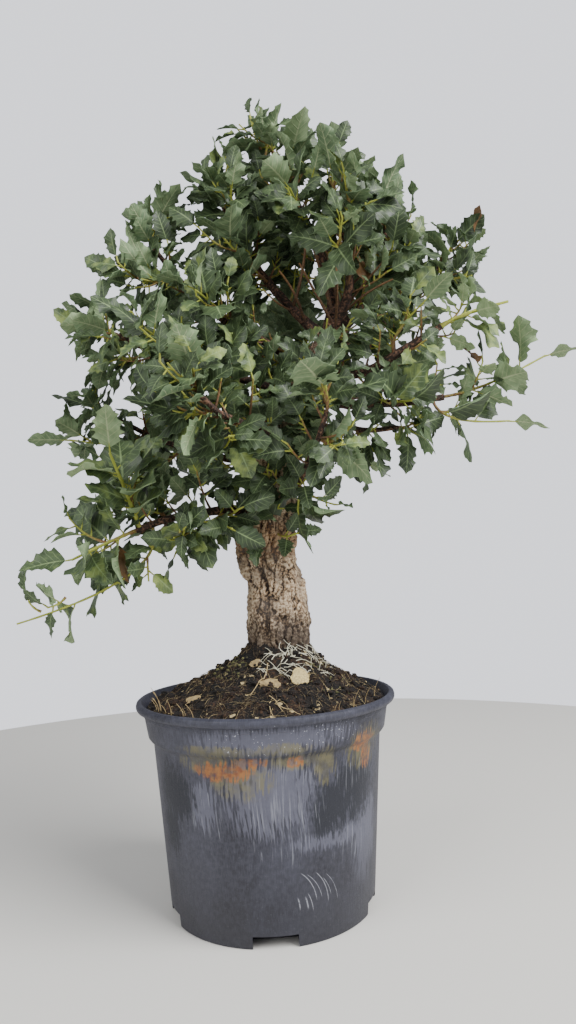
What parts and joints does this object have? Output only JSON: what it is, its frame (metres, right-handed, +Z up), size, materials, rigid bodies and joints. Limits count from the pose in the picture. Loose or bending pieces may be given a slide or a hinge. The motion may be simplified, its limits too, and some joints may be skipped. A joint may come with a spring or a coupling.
{
  "type": "potted cork oak bonsai",
  "caption": "Small evergreen tree with a corky, leaning trunk and a wide, wavy-leaved crown, growing from mounded soil in a round, slightly tapered plastic nursery pot with a rolled lip.",
  "frame": {"origin": "middle of the pot's flat underside, on the surface it stands on", "axes": "+Z up along the pot's axis, +X to the right seen from the tree's front, -Y towards the front"},
  "size_m": [0.5564, 0.357, 0.8025],
  "materials": {
    "pot_plastic": "weathered, scuffed and lime-streaked slate grey plastic",
    "soil": "dark, crumbly, fibrous potting compost",
    "bark": "rough, deeply furrowed corky bark on the trunk, smoother brown bark on the limbs",
    "litter": "dry, pale bark chip and dead leaves",
    "foliage": "leathery leaves, dark green and slightly glossy above, paler and matt below, on yellow-green to brown stems"
  },
  "bodies": {
    "root": {"pot": "pot_plastic", "soil": "soil", "trunk_and_limbs": "bark", "bark_chip": "litter", "dry_leaf_middle": "litter", "dry_leaf_left": "litter", "dry_leaf_top": "litter", "shoot_crown_tip": "foliage", "shoot_crown_right": "foliage", "shoot_crown_back": "foliage", "shoot_crown_front": "foliage", "shoot_dome_left_tip": "foliage", "shoot_dome_left_front": "foliage", "shoot_dome_left_side": "foliage", "shoot_dome_left_back": "foliage", "shoot_dome_tip": "foliage", "shoot_dome_front": "foliage", "shoot_dome_middle": "foliage", "shoot_dome_right_tip": "foliage", "shoot_dome_right_side": "foliage", "shoot_dome_right_front": "foliage", "shoot_dome_right_back": "foliage", "shoot_shoulder_tip": "foliage", "shoot_shoulder_back": "foliage", "shoot_shoulder_front": "foliage", "shoot_shoulder_low": "foliage", "shoot_left_high": "foliage", "shoot_left_side": "foliage", "shoot_left_front": "foliage", "shoot_left_middle": "foliage", "shoot_left_tip": "foliage", "shoot_left_reach": "foliage", "shoot_left_low": "foliage", "shoot_left_back": "foliage", "shoot_low_rise": "foliage", "shoot_low_reach": "foliage", "shoot_low_trail": "foliage", "shoot_low_side": "foliage", "shoot_low_hang": "foliage", "shoot_low_inner": "foliage", "shoot_front_left_tip": "foliage", "shoot_front_left_side": "foliage", "shoot_front_left_low": "foliage", "shoot_front_tip": "foliage", "shoot_front_right": "foliage", "shoot_front_low": "foliage", "shoot_right_spear": "foliage", "shoot_right_upper": "foliage", "shoot_right_back_tip": "foliage", "shoot_right_back_side": "foliage", "shoot_right_back_in": "foliage", "shoot_right_tip": "foliage", "shoot_right_low": "foliage", "shoot_right_front": "foliage", "shoot_low_right_tip": "foliage", "shoot_low_right_hang": "foliage", "shoot_back_tip": "foliage", "shoot_back_top_tip": "foliage", "shoot_back_left_tip": "foliage", "shoot_back_low_tip": "foliage"}
  },
  "joints": []
}
